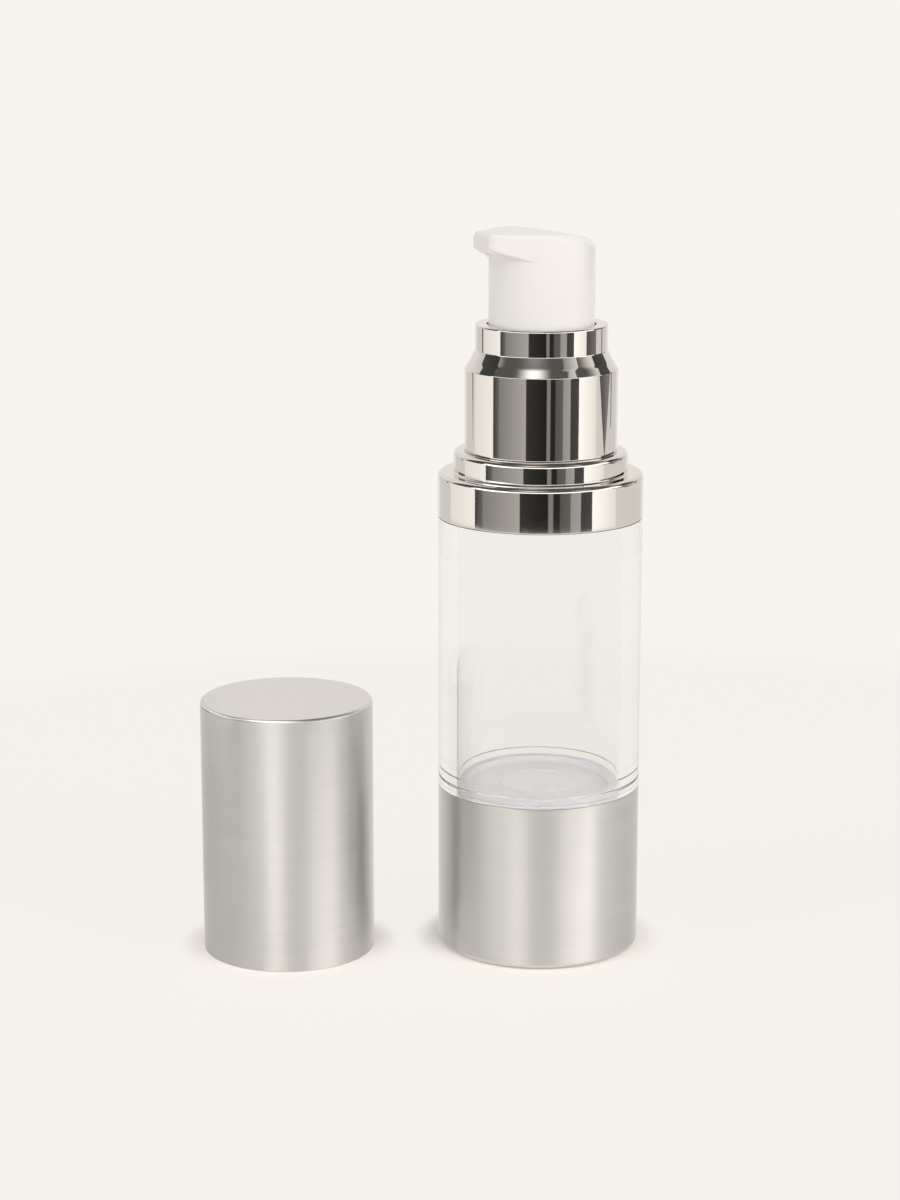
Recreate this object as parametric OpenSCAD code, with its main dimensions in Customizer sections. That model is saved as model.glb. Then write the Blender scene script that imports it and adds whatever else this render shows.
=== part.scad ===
// Airless pump bottle, 30 ml: clear barrel with a follower piston, metal base and cap,
// stepped bright collar, and a screw-on piston pump whose beaked head points along -X.
// Origin at the centre of the base's underside, +Z up. The cap stands beside the bottle.

/* [Bottle] */
// Outside diameter of the clear barrel and of the metal base
body_d = 35; // [33:0.5:42]
// Wall of the barrel, outside the bore in which the follower piston slides
barrel_wall = 3.45; // [3.2:0.05:5]
// Height of clear barrel that shows between base and collar
window_h = 45.6; // [30:0.2:80]
// Height of the clear band between the metal base and the barrel's lower edge
band_h = 1.9; // [1:0.1:3]
// How far the bore runs on above the window, inside the collar
bore_over_h = 3; // [1.5:0.1:4]
// Thickness of the barrel's roof above the bore
roof_t = 2.4; // [1.6:0.1:3]
// Wall of the spigot under the barrel, which plugs into the base
spigot_wall = 1.9; // [1:0.1:2.2]
// Length of that spigot
spigot_h = 10.2; // [8:0.1:14]
// Outside diameter of the barrel's neck, at the root of its thread
neck_d = 20.4; // [19:0.1:20.8]
// Wall of the neck
neck_wall = 1.7; // [1.2:0.1:1.8]

/* [Base] */
// Height of the metal base
base_h = 28.7; // [20:0.1:40]
// Wall of the drawn metal base
base_skin = 0.5; // [0.3:0.05:0.8]
// Radius of the base's lower edge
base_edge_r = 1.1; // [0.9:0.1:2]
// Thickness of the deck inside the base, which carries the spigot
deck_t = 1.6; // [1:0.1:2.5]
// Diameter of the vent holes that let air in under the follower piston
vent_d = 1.6; // [1:0.1:3]
// Distance of the metal base's vent hole from the axis
vent_offset = 9; // [5:0.5:12]

/* [Follower piston] */
// Height of the follower piston over its lips
follower_h = 9.6; // [8:0.1:12]
// Thickness of its walls and floor
follower_wall = 0.9; // [0.7:0.1:1.2]
// How far its two sealing lips stand out from its waist
lip_reach = 0.8; // [0.5:0.1:1]
// Height of each lip
lip_h = 2.4; // [1.8:0.1:3]
// Depth of its annular floor below the upper lip
follower_sink = 1.1; // [0.8:0.1:2]
// Diameter over the raised ring in the middle of its floor
disc_d = 13.6; // [10:0.2:16]
// Height of that ring above the floor
disc_rise = 0.3; // [0.2:0.1:0.8]

/* [Collar] */
// How far the collar's large ring stands out beyond the barrel
ring_proud = 0.1; // [0:0.05:1]
// Height of the large ring
ring_h = 7.7; // [6.2:0.1:10]
// Width of the ledge round the sleeve, on which the cap sits down
ledge_w = 1.85; // [1.6:0.05:2]
// Height of the step under that ledge
step_h = 3.7; // [2:0.1:5]
// Wall of the large ring
ring_wall = 1.7; // [1.2:0.1:2.2]
// Radius on the upper edges of the large ring and the step
ring_edge_r = 0.9; // [0.4:0.1:1.2]
// Height of the sleeve's straight part
sleeve_h = 13.95; // [12.5:0.05:18]
// Height of the cone above it
cone_h = 2.9; // [2:0.1:4]
// Width of the neck ring's flat top, round the head
neck_ring_w = 2; // [1.6:0.05:2.2]
// Height of the neck ring
neck_ring_h = 4.75; // [4:0.05:6]
// Wall of the sleeve and the neck ring
collar_wall = 0.8; // [0.6:0.05:1]

/* [Closure] */
// Wall of the screw closure outside its thread
closure_wall = 1.2; // [1:0.05:1.6]
// Thickness of the screw closure's top
closure_top_t = 1.2; // [0.8:0.1:1.6]
// How far the threads stand out
thread_h = 0.6; // [0.4:0.05:0.7]
// Rise of the thread in one turn
thread_pitch = 3; // [2.5:0.1:4]
// Turns of the thread
thread_turns = 1.5; // [1:0.25:2]
// Thickness of the neck gasket
gasket_t = 1; // [0.6:0.1:1.5]

/* [Pump] */
// How far the head goes down
press_travel = 4.5; // [3:0.1:5]
// Radius of the pump's chamber
chamber_r = 4.8; // [4.4:0.1:5.2]
// Wall of the pump's housing
housing_wall = 1.2; // [0.9:0.1:1.4]
// Thickness of the housing's flange
flange_t = 1.2; // [0.9:0.1:1.6]
// Radius of the stem
stem_r = 2.5; // [2.3:0.05:2.7]
// Radius of the stem's channel
channel_r = 1.2; // [0.9:0.05:1.3]
// Radius of the plunger's rod
rod_r = 1.65; // [1.5:0.05:1.8]
// Height of the piston seal
seal_h = 2.6; // [2.2:0.1:3]
// Height of the seal's hub
hub_h = 1.4; // [1.2:0.1:1.6]
// How far the seal slips on the plunger to open the ports
seal_slip = 0.6; // [0.4:0.05:0.8]
// Radius of the inlet ball
ball_r = 2; // [1.8:0.05:2.2]
// How far the inlet ball lifts
ball_lift = 1; // [0.6:0.1:1.4]
// Radius of the inlet port
port_r = 1.2; // [0.9:0.05:1.25]
// Radius of the spring's wire
wire_r = 0.35; // [0.25:0.05:0.45]
// Radius of the spring's coil, to the middle of its wire
coil_r = 4.8; // [4.6:0.05:5.4]
// Turns of the spring
coil_turns = 7; // [5:1:8]

/* [Head] */
// Diameter of the head's skirt
head_d = 18; // [17:0.1:18.4]
// Wall of the head
head_wall = 1; // [0.8:0.05:1.3]
// Height of the beak's top above the collar
head_rise = 15.7; // [14.5:0.1:20]
// Reach of the beak from the axis
beak_reach = 11.6; // [10.5:0.1:14]
// Width of the beak's tip
beak_w = 6.2; // [4:0.1:8]
// Thickness of the beak's tip
beak_t = 2.9; // [2.6:0.1:4]
// Slope of the beak's underside, in degrees
beak_slope = 18; // [10:1:25]
// Where the top starts to fall towards the back, from the axis towards the beak
brow = 4; // [2:0.5:6]
// Radius of the arc in which the top falls
brow_r = 44; // [36:1:80]
// Thickness of the lid let into the head's top
lid_t = 1; // [0.8:0.1:1.2]
// Width of the rim round that lid
lid_rim = 1; // [0.8:0.1:1.5]
// Width of the product channel under the lid
slot_w = 1.8; // [1.2:0.1:2.4]
// Diameter of the outlet under the beak's tip
outlet_d = 1.2; // [0.8:0.1:1.6]

/* [Cap] */
// Height of the cap
cap_h = 44.6; // [41:0.1:52]
// Wall of the drawn metal cap
cap_skin = 0.5; // [0.3:0.05:0.6]
// Radius of the cap's upper edge
cap_edge_r = 0.7; // [0.6:0.1:1.5]
// Thickness of the cap liner's top
cap_liner_top_t = 1.2; // [0.8:0.1:2]
// Number of grip ribs in the cap's liner
grip_n = 6; // [3:1:12]
// Gap between the bottle and the cap that stands beside it
cap_stand_gap = 11.4; // [2:0.1:40]
// Bearing of the cap from the bottle, in degrees from +X
cap_bearing = 156.7; // [100:0.1:260]

/* [Fits] */
// Radial gap between parts that are pressed or glued together
fit_gap = 0.05; // [0.02:0.01:0.1]
// Radial gap of parts that slide or turn in each other
run_gap = 0.05; // [0.02:0.01:0.08]
// Gap between faces that come to rest on each other
rest_gap = 0.05; // [0.02:0.01:0.1]
// Clear space left at the end of a travel
end_gap = 0.5; // [0.3:0.1:0.8]
// Visible gap round the head and under the sleeve
show_gap = 0.2; // [0.1:0.05:0.3]

/* [Hidden] */
$fn = 96;

// Cuts run past the faces that they open by this much
over = 1;
body_r = body_d / 2;
bore_r = body_r - barrel_wall;
spigot_r = bore_r + spigot_wall;
neck_r = neck_d / 2;
neck_bore_r = neck_r - neck_wall;
head_r = head_d / 2;

// Radii outwards from the neck's thread to the cap, and from the head to the neck ring
closure_bore_r = neck_r + thread_h + run_gap * 4;
closure_r = closure_bore_r + closure_wall;
sleeve_in_r = closure_r + fit_gap;
sleeve_r = sleeve_in_r + collar_wall;
step_r = sleeve_r + ledge_w;
ring_r = body_r + ring_proud;
collar_mouth_r = head_r + show_gap + run_gap;
neck_ring_r = collar_mouth_r + neck_ring_w;

// Heights up the bottle
z_barrel = base_h + band_h;
z_deck = z_barrel - spigot_h;
z_collar = z_barrel + window_h;
z_roof = z_collar + bore_over_h;
z_roof_top = z_roof + roof_t;
z_ring_top = z_collar + ring_h;
z_step_top = z_ring_top + step_h;
z_sleeve = z_step_top + show_gap;
z_cone = z_step_top + sleeve_h;
z_neck_ring = z_cone + cone_h;
z_collar_top = z_neck_ring + neck_ring_h;

// The sleeve's ledge lies on the closure, and the closure holds the pump down on the neck
ledge_h = 2;
z_closure_top = z_cone - ledge_h;
z_flange_top = z_closure_top - closure_top_t;
z_flange = z_flange_top - flange_t;
z_neck_top = z_flange - gasket_t;

// Base
base_in_r = body_r - base_skin;
liner_r = base_in_r - fit_gap;
liner_bore_r = spigot_r + fit_gap;

// Follower piston
follower_r = bore_r - run_gap;
waist_r = follower_r - lip_reach;
z_follower = z_deck + rest_gap;
disc_r = disc_d / 2;
disc_ring_t = 0.6;

// Collar and closure
ring_in_r = ring_r - ring_wall;
shoulder_r = ring_in_r - fit_gap;
neck_ring_in_r = neck_ring_r - collar_wall;
z_closure = z_roof_top + end_gap * 3;
step_in_r = closure_r + end_gap;
collar_lip_t = 1.2;
collar_edge_r = 0.3;

// Pump, worked out downwards from the guide ring
guide_plug_h = 1.9;
guide_flange_r = coil_r + wire_r + 1;
closure_hole_r = guide_flange_r + fit_gap;
z_guide = z_flange_top - guide_plug_h;
z_seal = z_guide - seal_slip - end_gap / 2 - seal_h;
z_plunger_flange = z_seal - rest_gap;
plunger_flange_t = 1;
plunger_flange_r = chamber_r - 1.4;
z_plunger = z_plunger_flange - plunger_flange_t;
z_stem = z_seal + hub_h + seal_slip + rest_gap;
rod_plug_h = 3;
rod_channel_r = rod_r - 0.75;
seal_r = chamber_r - run_gap;
seal_lip_t = 0.5;
hub_r = rod_r + 1.2;
z_chamber = z_plunger - press_travel - end_gap;
housing_r = chamber_r + housing_wall;
cage_r = ball_r + 0.3;
cage_wall = 1.3;
lug_t = 0.6;
z_ball = z_chamber - lug_t - rest_gap - ball_lift - ball_r;
z_seat_apex = z_ball - (ball_r + rest_gap) * sqrt(2);
z_seat = z_seat_apex + port_r;
z_seat_top = z_seat_apex + cage_r;
seat_floor_t = 0.9;
z_housing = z_seat - seat_floor_t;
flange_r = closure_bore_r - fit_gap * 4;
plug_r = neck_bore_r - fit_gap;
plug_wall = 0.9;
plug_h = 2.5;
z_thread = z_neck_top - thread_turns * thread_pitch - plug_h - thread_pitch / 2;
thread_set = thread_pitch * 0.37;

// Head
z_head_top = z_collar_top + head_rise;
z_skirt = z_closure_top + press_travel + end_gap;
head_in_r = head_r - head_wall;
head_roof_t = beak_t + 1;
z_head_roof = z_head_top - head_roof_t;
rib_h = 9;
z_rib = z_head_roof - rib_h;
rib_n = 6;
rib_w = 0.9;
boss_wall = 1.5;
boss_r = stem_r + boss_wall;
boss_drop = 6;
z_boss = z_rib - boss_drop;
z_stem_top = z_head_roof - 3;
slot_floor_t = 1.7;
beak_bite = 0.2;
z_slot = z_head_roof + slot_floor_t;
outlet_s = beak_reach - outlet_d / 2 - 0.9;
z_beak_tip = z_head_top - beak_t;

// Cap
cap_liner_r = step_r - cap_skin - fit_gap;
cap_bore_r = sleeve_r + 3 * run_gap;
cap_lift_in = 0.4;
grip_r = sleeve_r + run_gap / 2;
grip_w = 1;
grip_h = 10;
cap_distance = ring_r + cap_stand_gap + step_r;

// A ring seen in section: from radius r0 to r1 and from height z0 to z1
module band(r0, r1, z0, z1) {
    translate([r0, z0]) square([r1 - r0, z1 - z0]);
}

// What comes off an outer edge at radius r and height z to round it; up is 1 or -1
module edge_cut(r, z, radius, up) {
    difference() {
        translate([r - radius, up > 0 ? z - radius : z - over]) square([radius + over, radius + over]);
        translate([r - radius, z - up * radius]) circle(radius);
    }
}

// Drawn metal cup with a rounded lower edge and a vent hole
module base_shell() {
    color("silver")
    difference() {
        rotate_extrude() difference() {
            band(0, body_r, 0, base_h);
            edge_cut(body_r, 0, base_edge_r, -1);
            difference() {
                band(0, base_in_r, base_skin, base_h + over);
                edge_cut(base_in_r, base_skin, base_edge_r - base_skin, -1);
            }
        }
        translate([0, vent_offset, -over]) cylinder(d = vent_d, h = base_skin + 2 * over);
    }
}

// Clear inner base: its flange shows as the clear band, its deck carries the barrel's spigot
module base_liner() {
    color("lightcyan", 0.5)
    rotate_extrude() difference() {
        union() {
            band(liner_bore_r - end_gap, liner_r, base_skin, z_deck);
            band(liner_bore_r, liner_r, z_deck - deck_t, base_h);
            band(liner_bore_r, body_r, base_h, z_barrel);
            band(vent_d, liner_bore_r, z_deck - deck_t, z_deck);
        }
        edge_cut(liner_r, base_skin, base_edge_r, -1);
    }
}

// Helical ridge round the Z axis, from height z0 up: sign is 1 outwards, -1 inwards
module thread_ridge(r, z0, turns, sign) {
    steps = 24;
    foot = thread_pitch * 0.2;
    crest = thread_pitch * 0.08;
    root = 0.2;
    count = ceil(turns * steps);
    function ring(i) =
        let (a = 360 * i / steps, z = z0 + thread_pitch * i / steps,
             taper = min(1, i / 4 + 0.05, (count - i) / 4 + 0.05),
             ri = r - sign * root, ro = r + sign * thread_h * taper)
        [for (p = [[ri, -foot], [ro, -crest], [ro, crest], [ri, foot]])
            [p[0] * cos(a), p[0] * sin(a), z + p[1]]];
    points = [for (i = [0 : count]) each ring(i)];
    side = [for (i = [0 : count - 1]) for (k = [0 : 3])
        let (a = 4 * i + k, b = 4 * i + (k + 1) % 4)
        each [[a, b, b + 4], [a, b + 4, a + 4]]];
    last = 4 * count;
    ends = [[3, 2, 1], [3, 1, 0], [last, last + 1, last + 2], [last, last + 2, last + 3]];
    faces = concat(side, ends);
    polyhedron(points, sign > 0 ? faces : [for (f = faces) [f[2], f[1], f[0]]]);
}

// Thick clear tube with a spigot below and a shoulder and neck above
module barrel() {
    color("azure", 0.4) {
        rotate_extrude() {
            band(bore_r, spigot_r, z_deck, z_barrel);
            band(bore_r, body_r, z_barrel, z_collar);
            band(bore_r, shoulder_r, z_collar, z_roof);
            band(neck_bore_r, shoulder_r, z_roof, z_roof_top);
            band(neck_bore_r, neck_r, z_roof_top, z_neck_top);
        }
        thread_ridge(neck_r, z_thread, thread_turns, 1);
    }
}

// Follower piston: a cup with a sealing lip at each end, closed near the top
module follower_piston() {
    color("whitesmoke")
    translate([0, 0, z_follower])
    rotate_extrude() {
        band(waist_r - follower_wall, waist_r, 0, follower_h);
        band(waist_r - over / 10, follower_r, 0, lip_h);
        band(waist_r - over / 10, follower_r, follower_h - lip_h, follower_h);
        band(0, waist_r, follower_h - follower_sink - follower_wall, follower_h - follower_sink);
        band(disc_r - disc_ring_t, disc_r, follower_h - follower_sink - follower_wall,
             follower_h - follower_sink + disc_rise);
    }
}

// Bright stepped ring fixed over the barrel's shoulder
module shoulder_ring() {
    color("lightsteelblue")
    rotate_extrude() difference() {
        union() {
            band(ring_in_r, ring_r, z_collar, z_ring_top);
            band(step_in_r, ring_r, z_roof_top, z_ring_top);
            band(step_in_r, step_r, z_roof_top, z_step_top);
        }
        edge_cut(ring_r, z_ring_top, ring_edge_r, 1);
        edge_cut(step_r, z_step_top, ring_edge_r, 1);
    }
}

// Bright sleeve over the closure, drawn in by a cone to the ring round the head
module pump_collar() {
    color("lightsteelblue")
    rotate_extrude() difference() {
        union() {
            band(sleeve_in_r, sleeve_r, z_sleeve, z_cone);
            polygon([
                [sleeve_in_r - collar_wall, z_closure_top],
                [sleeve_r, z_closure_top],
                [sleeve_r, z_cone],
                [neck_ring_r, z_neck_ring],
                [neck_ring_r, z_collar_top],
                [neck_ring_in_r, z_collar_top],
                [neck_ring_in_r, z_neck_ring - collar_wall],
                [sleeve_in_r - collar_wall, z_cone - collar_wall]
            ]);
            band(collar_mouth_r, neck_ring_r, z_collar_top - collar_lip_t, z_collar_top);
        }
        edge_cut(neck_ring_r, z_collar_top, collar_edge_r, 1);
    }
}

// Screw closure that clamps the pump on the neck
module closure() {
    color("white") {
        rotate_extrude() {
            band(closure_bore_r, closure_r, z_closure, z_closure_top);
            band(closure_hole_r, closure_r, z_flange_top, z_closure_top);
        }
        thread_ridge(closure_bore_r, z_thread - thread_set, thread_turns, -1);
    }
}

// Soft washer between the neck and the pump's flange
module neck_gasket() {
    color("gainsboro")
    rotate_extrude() band(neck_bore_r, neck_r, z_neck_top, z_flange);
}

// Pump housing: flange, plug in the neck, chamber, and the inlet's seat and cage
module pump_housing() {
    color("ivory")
    difference() {
        rotate_extrude() {
            band(chamber_r, flange_r, z_flange, z_flange_top);
            band(plug_r - plug_wall, plug_r, z_neck_top - plug_h, z_flange);
            band(chamber_r, housing_r, z_chamber, z_flange);
            band(cage_r, housing_r, z_chamber - housing_wall, z_chamber);
            band(cage_r, cage_r + cage_wall, z_seat_top, z_chamber);
            difference() {
                band(port_r, cage_r + cage_wall, z_housing, z_seat_top);
                polygon([
                    [port_r, z_seat],
                    [cage_r + over, z_seat_top + over],
                    [port_r, z_seat_top + over]
                ]);
            }
        }
    }
    color("ivory")
    for (a = [0 : 120 : 240])
        rotate([0, 0, a]) translate([port_r, -lug_t, z_chamber - lug_t])
            cube([cage_r - port_r + cage_wall / 2, 2 * lug_t, lug_t]);
}

// Ring that guides the stem and closes the chamber
module guide_ring() {
    color("white")
    rotate_extrude() {
        band(stem_r + run_gap, chamber_r, z_guide, z_flange_top);
        band(stem_r + run_gap, guide_flange_r, z_flange_top, z_closure_top);
    }
}

// Ball of the inlet valve, on its seat
module inlet_ball() {
    color("slategray")
    translate([0, 0, z_ball]) sphere(ball_r);
}

// Rod in the stem's foot; its flange opens and shuts the seal's ports
module plunger() {
    color("white")
    difference() {
        union() {
            translate([0, 0, z_plunger]) cylinder(r = plunger_flange_r, h = plunger_flange_t);
            translate([0, 0, z_plunger]) cylinder(r = rod_r, h = z_stem + rod_plug_h - z_plunger);
        }
        translate([0, 0, z_plunger_flange])
            cylinder(r = rod_channel_r, h = z_stem + rod_plug_h - z_plunger_flange + over);
        translate([0, 0, z_seal + rod_channel_r]) rotate([90, 0, 0])
            cylinder(r = rod_channel_r / 2, h = 2 * rod_r + over, center = true);
    }
}

// Seal that slides in the chamber and slips a little on the plunger's rod
module piston_seal() {
    color("gainsboro")
    rotate_extrude() {
        band(rod_r + run_gap, hub_r, z_seal, z_seal + hub_h);
        band(hub_r, seal_r, z_seal + hub_h / 2, z_seal + hub_h);
        band(seal_r - seal_lip_t, seal_r, z_seal, z_seal + seal_h);
    }
}

// Hollow stem that carries the head
module stem() {
    color("white")
    rotate_extrude() difference() {
        band(channel_r, stem_r, z_stem, z_stem_top);
        band(0, rod_r + fit_gap, z_stem - over, z_stem + rod_plug_h + rest_gap);
    }
}

// Return spring between the guide ring and the head's ribs: one tube along a helix
module return_spring() {
    steps = 12;
    sides = 6;
    low = z_closure_top + wire_r + rest_gap;
    rise = z_rib - wire_r - rest_gap - low;
    count = coil_turns * steps;
    slope = atan(rise / coil_turns / (2 * PI * coil_r));
    function ring(i) =
        let (a = 360 * i / steps, z = low + rise * i / count)
        [for (k = [0 : sides - 1])
            let (b = 360 * k / sides,
                 out = wire_r * cos(b),
                 up = wire_r * sin(b),
                 r = coil_r + out)
            [r * cos(a) + up * sin(slope) * sin(a),
             r * sin(a) - up * sin(slope) * cos(a),
             z + up * cos(slope)]];
    points = [for (i = [0 : count]) each ring(i)];
    side = [for (i = [0 : count - 1]) for (k = [0 : sides - 1])
        let (a = sides * i + k, b = sides * i + (k + 1) % sides)
        each [[a, b, b + sides], [a, b + sides, a + sides]]];
    first = [for (k = [1 : sides - 2]) [0, k + 1, k]];
    last = [for (k = [1 : sides - 2]) [sides * count, sides * count + k, sides * count + k + 1]];
    color("lightgray") polyhedron(points, concat(side, first, last));
}

// Outline of the beak from above, towards -X: its sides run just inside the circle of radius r
module beak_plan(r, reach, half_w) {
    core_r = r - beak_bite;
    turn = 180 - atan2(half_w, reach) - acos(core_r / norm([reach, half_w]));
    polygon([
        [-reach, -half_w],
        [core_r * cos(turn), -core_r * sin(turn)],
        [core_r * cos(turn), core_r * sin(turn)],
        [-reach, half_w]
    ]);
}

// Everything under the head's top: level along the beak, then falling in an arc to the back
module under_top(low, drop) {
    top = z_head_top - drop;
    wide = 2 * (head_r + over);
    rotate([90, 0, 0]) linear_extrude(wide, center = true) difference() {
        translate([-beak_reach - over, low]) square([beak_reach + head_r + 2 * over, top - low]);
        difference() {
            translate([-brow, top - head_d / 2]) square([wide, head_d]);
            translate([-brow, top - brow_r]) circle(brow_r);
        }
    }
}

// Moulded head: hollow skirt, beak, stem socket with ribs, and the channel to the outlet
module actuator() {
    color("white")
    difference() {
        intersection() {
            union() {
                translate([0, 0, z_skirt]) cylinder(r = head_r, h = z_head_top - z_skirt);
                intersection() {
                    translate([0, 0, z_head_roof - beak_t])
                        linear_extrude(head_roof_t + beak_t)
                            beak_plan(head_r, beak_reach, beak_w / 2);
                    rotate([90, 0, 0]) linear_extrude(head_d, center = true) polygon([
                        [0, z_beak_tip - beak_reach * tan(beak_slope)],
                        [0, z_head_top],
                        [-beak_reach, z_head_top],
                        [-beak_reach, z_beak_tip]
                    ]);
                }
            }
            under_top(z_skirt, 0);
        }
        difference() {
            translate([0, 0, z_skirt - over]) cylinder(r = head_in_r, h = z_head_roof - z_skirt + over);
            translate([0, 0, z_boss]) cylinder(r = boss_r, h = z_head_roof - z_boss + over);
            for (i = [0 : rib_n - 1])
                rotate([0, 0, 360 / rib_n * (i + 0.5)]) translate([stem_r, -rib_w / 2, z_rib])
                    cube([head_r - stem_r, rib_w, rib_h + over]);
        }
        translate([0, 0, z_boss - over]) cylinder(r = stem_r + fit_gap, h = z_stem_top - z_boss + over);
        cylinder(r = channel_r, h = z_slot + over);
        translate([-outlet_s - outlet_d, -slot_w / 2, z_slot])
            cube([outlet_s + outlet_d + slot_w, slot_w, head_roof_t]);
        translate([-outlet_s, 0, z_skirt]) cylinder(d = outlet_d, h = z_slot - z_skirt + over);
        lid_block(lid_rim - fit_gap, over);
    }
}

// The lid's own space in the head's top: inset from the outline, and run up past it by extra
module lid_block(inset, extra) {
    difference() {
        translate([0, 0, z_head_roof]) linear_extrude(head_roof_t + extra) {
            circle(head_r - inset);
            beak_plan(head_r - inset, beak_reach - inset, beak_w / 2 - inset);
        }
        under_top(z_skirt, lid_t);
    }
}

// Lid let into the head's top, which closes the product channel
module actuator_lid() {
    color("white")
    intersection() {
        lid_block(lid_rim, 0);
        under_top(z_skirt, 0);
    }
}

// Puts a cap piece where the cap stands beside the bottle
module beside() {
    rotate([0, 0, cap_bearing]) translate([cap_distance, 0, 0]) children();
}

// Drawn metal cap, mouth down
module cap_shell() {
    color("silver")
    beside() rotate_extrude() difference() {
        band(0, step_r, 0, cap_h);
        edge_cut(step_r, cap_h, cap_edge_r, 1);
        band(0, step_r - cap_skin, -over, cap_h - cap_skin);
    }
}

// Moulded liner of the cap, with ribs that grip the sleeve
module cap_liner() {
    color("white")
    beside() {
        rotate_extrude() difference() {
            band(0, cap_liner_r, cap_lift_in, cap_h - cap_skin);
            band(0, cap_bore_r, 0, cap_h - cap_skin - cap_liner_top_t);
            edge_cut(cap_liner_r, cap_h - cap_skin, cap_edge_r - cap_skin, 1);
        }
        for (i = [0 : grip_n - 1])
            rotate([0, 0, 360 / grip_n * i]) difference() {
                translate([0, -grip_w / 2, 2 * cap_lift_in])
                    cube([(cap_bore_r + cap_liner_r) / 2, grip_w, grip_h]);
                cylinder(r = grip_r, h = cap_h);
            }
    }
}

base_shell();
base_liner();
barrel();
follower_piston();
shoulder_ring();
pump_collar();
closure();
neck_gasket();
pump_housing();
guide_ring();
inlet_ball();
plunger();
piston_seal();
stem();
return_spring();
actuator();
actuator_lid();
cap_shell();
cap_liner();
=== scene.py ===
import bpy
import numpy as np
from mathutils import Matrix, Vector


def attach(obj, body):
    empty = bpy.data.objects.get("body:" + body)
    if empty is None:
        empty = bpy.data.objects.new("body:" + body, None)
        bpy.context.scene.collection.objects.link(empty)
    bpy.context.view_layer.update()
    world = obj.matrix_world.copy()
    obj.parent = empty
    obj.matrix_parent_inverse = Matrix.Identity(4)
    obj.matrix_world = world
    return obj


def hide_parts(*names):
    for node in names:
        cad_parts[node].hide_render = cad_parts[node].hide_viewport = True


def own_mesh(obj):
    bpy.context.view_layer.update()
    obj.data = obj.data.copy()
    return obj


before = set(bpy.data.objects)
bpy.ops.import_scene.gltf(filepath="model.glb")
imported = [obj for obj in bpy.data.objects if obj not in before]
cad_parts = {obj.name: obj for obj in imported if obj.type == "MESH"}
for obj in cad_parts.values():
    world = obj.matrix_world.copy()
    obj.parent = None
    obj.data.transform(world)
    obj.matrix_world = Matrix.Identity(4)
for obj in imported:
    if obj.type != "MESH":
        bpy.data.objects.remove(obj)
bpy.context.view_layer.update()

# ---- Camera ----------------------------------------------------------------------------------
# A tabletop product shot: an 85 mm lens on a portrait frame, half a metre off and 171 mm above
# the table, looking 13 degrees down with the beak turned a little towards it.
PHOTO_HEIGHT_PX = 1200
FOCAL_PX = 2834
SENSOR_MM = 36
CAMERA_AT = (-0.2375, -0.4137, 0.1714)
LOOKS_DOWN = 13.02
TURNED = -28
lens = bpy.data.cameras.new("product_lens")
lens.sensor_width = SENSOR_MM
lens.lens = SENSOR_MM * FOCAL_PX / PHOTO_HEIGHT_PX
camera = bpy.data.objects.new("product_camera", lens)
camera.location = CAMERA_AT
camera.rotation_euler = np.radians((90 - LOOKS_DOWN, 0, TURNED))
bpy.context.scene.collection.objects.link(camera)
bpy.context.scene.camera = camera
bpy.context.scene.view_settings.view_transform = "Standard"

# ---- Base shell ------------------------------------------------------------------------------
# The heavy-looking foot: a cup drawn from aluminium sheet, spun against fine abrasive so that it
# carries hairlines round its side, then clear anodised. It is pressed over the clear inner base.
BODY_R = 17.5
BASE_TOP = 28.7
SKIN = 0.5
BASE_EDGE = 1.1
VENT_AT = (0, 9)
VENT_R = 0.8

# A corner's arc takes at most EDGE_SHARE of the shorter edge beside it. Arcs of FULL_ARC or more
# get ten points and sharper ones fewer, and a point at most HOLD past each end keeps faces flat.
EDGE_SHARE = 0.45
FULL_ARC = 0.6
HOLD = 0.04


def rounded(corners):
    """A section's outline. Each corner (radius, height, rounding) is cut back along both its
    edges by rounding / tan(half the angle between them), bridged by an arc about the point that
    lies rounding / sin(half the angle) along the bisector, and held by one more point just past
    each end."""
    points = np.array([c[:2] for c in corners], float)
    line = []
    for p, a, b, c in zip(points, np.roll(points, 1, 0), np.roll(points, -1, 0), corners):
        if p[0] == 0:
            line.append([p])
            continue
        to_a, to_b = (a - p) / np.linalg.norm(a - p), (b - p) / np.linalg.norm(b - p)
        half = np.arccos(np.clip(to_a @ to_b, -1, 1)) / 2
        room = EDGE_SHARE * min(np.linalg.norm(a - p), np.linalg.norm(b - p))
        cut = min(c[2] / np.tan(half), room)
        radius = cut * np.tan(half)
        centre = p + (to_a + to_b) / np.linalg.norm(to_a + to_b) * radius / np.sin(half)
        turn = np.pi - 2 * half
        k = np.linspace(0, 1, 3 + int(7 * min(1, radius / FULL_ARC)))[:, None]
        start, end = p + to_a * cut - centre, p + to_b * cut - centre
        arc = centre + (np.sin((1 - k) * turn) * start + np.sin(k * turn) * end) / np.sin(turn)
        past = min(HOLD, room / 4)
        line += [[p + to_a * (cut + past)], arc, [p + to_b * (cut + past)]]
    return np.concatenate(line)


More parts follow.
